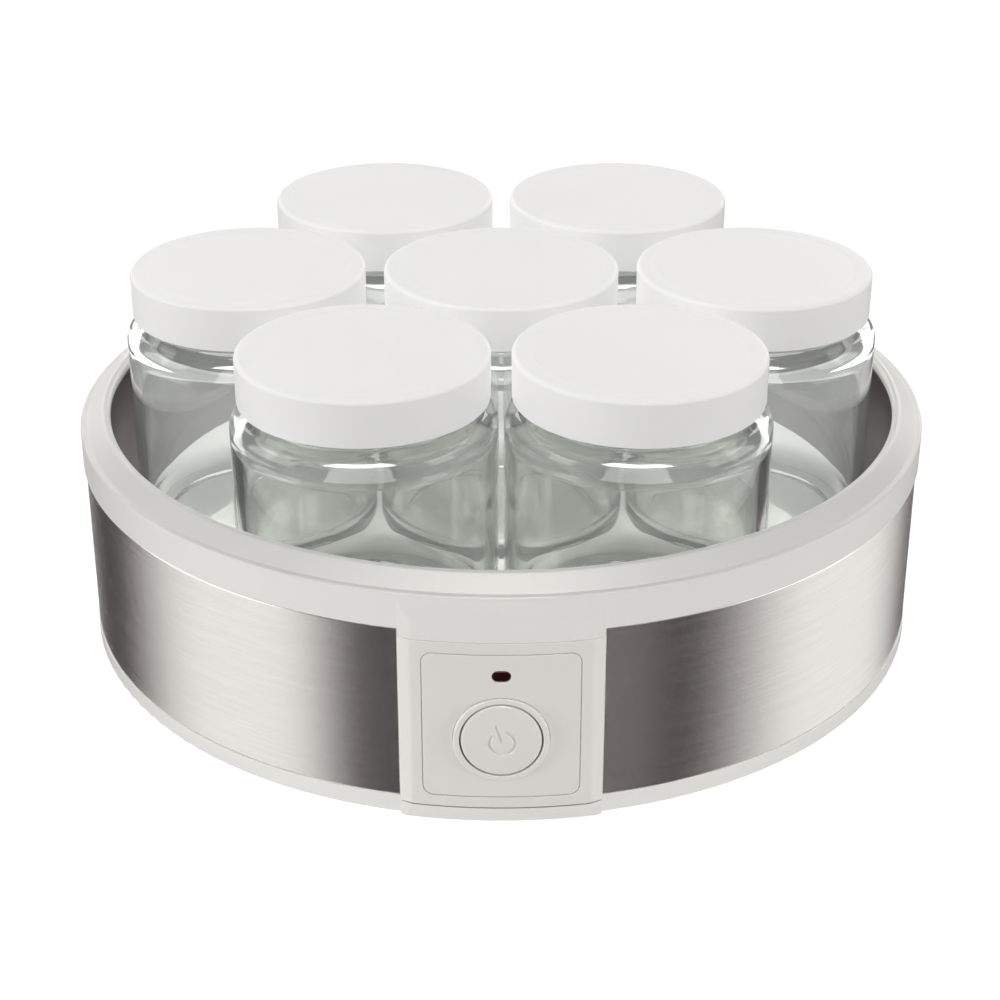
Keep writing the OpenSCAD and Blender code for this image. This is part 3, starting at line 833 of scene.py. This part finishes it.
def satin_metal(name, colour, rough, metallic):
    """Pressed metal with a satin skin."""
    m = Look(name).set(Metallic=metallic)
    m.drive("Base Color", m.tones(m.noise(60, 3), shade(colour, 0.95), colour))
    m.drive("Roughness", m.span(m.noise(900, 3), rough - 0.05, rough + 0.07))
    return m.bump(m.noise(2500, 3), 0.25, 0.00002).material


def glass(name, colour):
    """Clear glass whose body takes up a little light, so that its edges and thick parts go darker."""
    m = Look(name).set(Transmission_Weight=0.93, IOR=1.5, Roughness=0.0)
    m.drive("Base Color", m.tones(m.noise(14, 2), shade(colour, 0.985), colour))
    body = m.node("ShaderNodeVolumeAbsorption", {"Color": (0.535, 0.57, 0.53, 1), "Density": 37.0}).outputs[0]
    m.tree.links.new(body, m.tree.nodes["Material Output"].inputs["Volume"])
    return m.bump(m.noise(38, 2), 0.12, 0.0004).material


def felted(name, colour, scale=700.0, rough=0.9):
    """Soft fibrous or foamed surface, with strong variation of tone and height."""
    m = Look(name).set(Roughness=rough)
    m.drive("Base Color", m.tones(m.noise(scale, 5, 0.7), shade(colour, 0.72), shade(colour, 1.08)))
    return m.bump(m.noise(scale * 1.6, 4, 0.7), 0.8, 0.0004).material


finishes = {
    "white_moulding": lambda n: moulded(n, (0.755, 0.745, 0.715), 0.42, IOR=1.46),
    "panel_moulding": lambda n: moulded(n, (0.735, 0.715, 0.68), 0.40, IOR=1.46),
    "white_lid": lambda n: moulded(n, (0.86, 0.855, 0.84), 0.58, spread=0.012, Specular_IOR_Level=0.25),
    "brushed_steel": lambda n: brushed(n, (0.73, 0.715, 0.70), 0.25, 0.75, 0.00001, 0.02),
    # Steel of the tray wall, its tone set far below bare steel's: painted shade of the tray's inside and of the dark
    # surroundings it mirrors
    "dark_steel": lambda n: brushed(n, (0.11, 0.092, 0.09), 0.42, 0.4, 0.00001),
    "plate_aluminium": lambda n: satin_metal(n, (0.80, 0.81, 0.785), 0.42, 0.25),
    "clear_glass": lambda n: glass(n, (0.972, 0.985, 0.97)),
    "seal_foam": lambda n: felted(n, (0.82, 0.82, 0.79), 1500.0, 0.85),
    "red_lens": lambda n: moulded(n, (0.02, 0.001, 0.0025), 0.3, grain=900.0, spread=0.3, Specular_IOR_Level=0.25),
    "black_plastic": lambda n: moulded(n, (0.02, 0.02, 0.022), 0.45, spread=0.2),
    "cream_plastic": lambda n: moulded(n, (0.72, 0.68, 0.58), 0.5, spread=0.05),
    "blue_plastic": lambda n: moulded(n, (0.03, 0.06, 0.3), 0.3, spread=0.15),
    "circuit_board": lambda n: moulded(n, (0.02, 0.13, 0.05), 0.3, grain=1800.0, spread=0.35),
    "zinc_steel": lambda n: satin_metal(n, (0.62, 0.63, 0.64), 0.35, 1.0),
    "mica": lambda n: felted(n, (0.42, 0.27, 0.13), 260.0, 0.55),
    "mineral_wool": lambda n: felted(n, (0.58, 0.53, 0.42)),
    "red_wire": lambda n: moulded(n, (0.5, 0.03, 0.02), 0.45, spread=0.1),
    "brown_wire": lambda n: moulded(n, (0.22, 0.11, 0.05), 0.45, spread=0.1),
    "rubber_foot": lambda n: moulded(n, (0.035, 0.035, 0.037), 0.75, grain=1500.0, depth=0.00006, spread=0.2),
}
materials = {slot: make(slot) for slot, make in finishes.items()}


def dress(obj, slot):
    obj.data.materials.clear()
    obj.data.materials.append(materials[slot])


for obj in pieces.values():
    dress(obj, obj["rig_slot"])
replaced = {n for o in pieces.values() for n in o.get("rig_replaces", [])}
for part in record["subparts"]:
    if part["node"] not in replaced:
        dress(nodes[part["node"]], part["material_slot"])

# ---- Floor and studio ----

floor_mesh = bpy.data.meshes.new("studio_floor")
floor_half, floor_z = 30, -0.0004
floor_mesh.from_pydata([(x * floor_half, y * floor_half, floor_z) for x, y in ((-1, -1), (1, -1), (1, 1), (-1, 1))],
                       [], [(0, 1, 2, 3)])
floor = bpy.data.objects.new("studio_floor", floor_mesh)
scene.collection.objects.link(floor)
floor_look = Look("studio_floor").set(Roughness=0.9, Specular_IOR_Level=0.0, Emission_Color=(1, 1, 1, 1))
floor_look.drive("Base Color", floor_look.tones(floor_look.noise(1.5, 2), (0.28, 0.28, 0.28), (0.3, 0.3, 0.3)))
floor_seen = floor_look.node("ShaderNodeLightPath").outputs["Is Camera Ray"]
floor_look.drive("Emission Strength", floor_look.mix(floor_seen, FLOOR_GLOW, FLOOR_SEEN))
floor_look.material.cycles.emission_sampling = "NONE"
floor_mesh.materials.append(floor_look.material)
floor.visible_glossy = False

world = bpy.data.worlds.new("studio")
scene.world = world
world.use_nodes = True
world.node_tree.nodes.clear()
world.cycles.sampling_method = "NONE"
sky = Tree(world.node_tree)
split = sky.node("ShaderNodeSeparateXYZ", {0: sky.node("ShaderNodeTexCoord").outputs["Generated"]})
front = sky.math("MULTIPLY", split.outputs["Y"], -1.0)
azimuth = sky.math("MULTIPLY", sky.math("ARCTAN2", split.outputs["X"], front), 180 / math.pi)
height = split.outputs["Z"]


def softboxes(boxes, base):
    """Panels of light round the table over an even base."""
    total = base
    for start, full_0, full_1, end, power in boxes:
        window = sky.math("MULTIPLY", sky.ease(azimuth, start, full_0), sky.ease(azimuth, full_1, end, 1.0, 0.0))
        total = sky.math("ADD", sky.math("MULTIPLY", window, power), total)
    return total


# Low panels, which the steel band mirrors, and higher ones, which show in the glass
low = softboxes(LOW_BOXES, LOW_BASE)
high = softboxes(HIGH_BOXES, HIGH_BASE)
above = sky.ease(height, 0.0, 0.08)
ring = sky.math("ADD", sky.math("MULTIPLY", low, sky.math("SUBTRACT", 1.0, above)),
                sky.math("MULTIPLY", high, above))
top = softboxes(TOP_BOXES, TOP_BASE)
near_top = sky.math("MULTIPLY", sky.ease(height, 0.70, 0.74), sky.ease(height, 0.93, 0.95, 1.0, 0.1))
mirrored = sky.math("ADD", sky.math("MULTIPLY", ring, sky.ease(height, 0.55, 0.6, 1.0, 0.0)),
                    sky.math("MULTIPLY", top, near_top))
paths = sky.node("ShaderNodeLightPath").outputs
shiny = sky.math("MAXIMUM", paths["Is Glossy Ray"], paths["Is Transmission Ray"])
ambient = sky.mix(paths["Is Camera Ray"], AMBIENT, 1.0)
level = sky.math("ADD", sky.math("MULTIPLY", mirrored, shiny),
                 sky.math("MULTIPLY", ambient, sky.math("SUBTRACT", 1.0, shiny)))
tint = sky.node("ShaderNodeValToRGB", {"Fac": mirrored}).outputs[0]
ramp = tint.node.color_ramp
ramp.elements[0].position, ramp.elements[0].color = 0.06, (1.0, 0.87, 0.875, 1)
ramp.elements[1].position, ramp.elements[1].color = 0.7, (1.0, 0.995, 0.965, 1)
colour = sky.node("ShaderNodeMix", {"Factor": shiny, "A": (1, 1, 1, 1), "B": tint}, data_type="RGBA").outputs[2]
background = sky.node("ShaderNodeBackground", {"Color": colour, "Strength": level}).outputs[0]
sky.node("ShaderNodeOutputWorld", {0: background})


def group(name, objects):
    collection = bpy.data.collections.new(name)
    for obj in objects:
        collection.objects.link(obj)
    return collection


# Soft studio light in six groups; only the panel's parts and the lids cast its shadows
groups = {"front_jars": group("front_jars", [pieces[f"jar_{i}"] for i in FRONT_JAR_IDS]),
          "other_jars": group("other_jars", [pieces[f"jar_{i}"] for i in JAR_IDS if i not in FRONT_JAR_IDS]),
          "lids": group("lids", [pieces[f"lid_{i}"] for i in JAR_IDS]),
          "tray": group("tray", [pieces["liner"], pieces["tray"], *[pieces[f"seal_{i}"] for i in JAR_IDS]]),
          "panel": group("panel", [pieces[k] for k in ("fascia", "plate", "bezel", "button", "lens")])}
taken = {o for collection in groups.values() for o in collection.objects}
groups["housing"] = group("housing", [o for o in scene.objects if o.type == "MESH" and o not in taken])
for name, lit, shading, azimuth_deg, elevation_deg, power, spread_deg in LAMPS:
    lamp_data = bpy.data.lights.new(name, "SUN")
    lamp_data.energy = power * math.pi
    lamp_data.angle = math.radians(spread_deg)
    lamp_data.use_shadow = shading is not None
    lamp = bpy.data.objects.new(name, lamp_data)
    turn, rise = math.radians(azimuth_deg), math.radians(elevation_deg)
    source = Vector((math.sin(turn) * math.cos(rise), -math.cos(turn) * math.cos(rise), math.sin(rise)))
    lamp.rotation_euler = source.to_track_quat("Z", "Y").to_euler()
    lamp.visible_glossy = False
    lamp.visible_transmission = False
    lamp.light_linking.receiver_collection = groups[lit]
    if shading:
        lamp.light_linking.blocker_collection = groups[shading]
    scene.collection.objects.link(lamp)

# ---- Camera ----
camera_data = bpy.data.cameras.new("camera")
camera_data.lens, camera_data.sensor_width = 78.743, 36.0
camera_data.clip_start, camera_data.clip_end = 0.01, 100.0
camera = bpy.data.objects.new("camera", camera_data)
camera.location = (-0.00034, -0.57997, 0.32154)
camera.rotation_euler = (math.radians(63.5), 0, 0)
scene.collection.objects.link(camera)
scene.camera = camera

scene.view_settings.view_transform = "Standard"
scene.cycles.use_denoising = True
scene.cycles.max_bounces = 20
scene.cycles.transmission_bounces = 18
scene.cycles.glossy_bounces = 8
scene.cycles.diffuse_bounces = 4
scene.cycles.transparent_max_bounces = 12
scene.cycles.caustics_reflective = True
scene.cycles.caustics_refractive = True
scene.cycles.blur_glossy = 0.3
scene.cycles.sample_clamp_indirect = 6.0
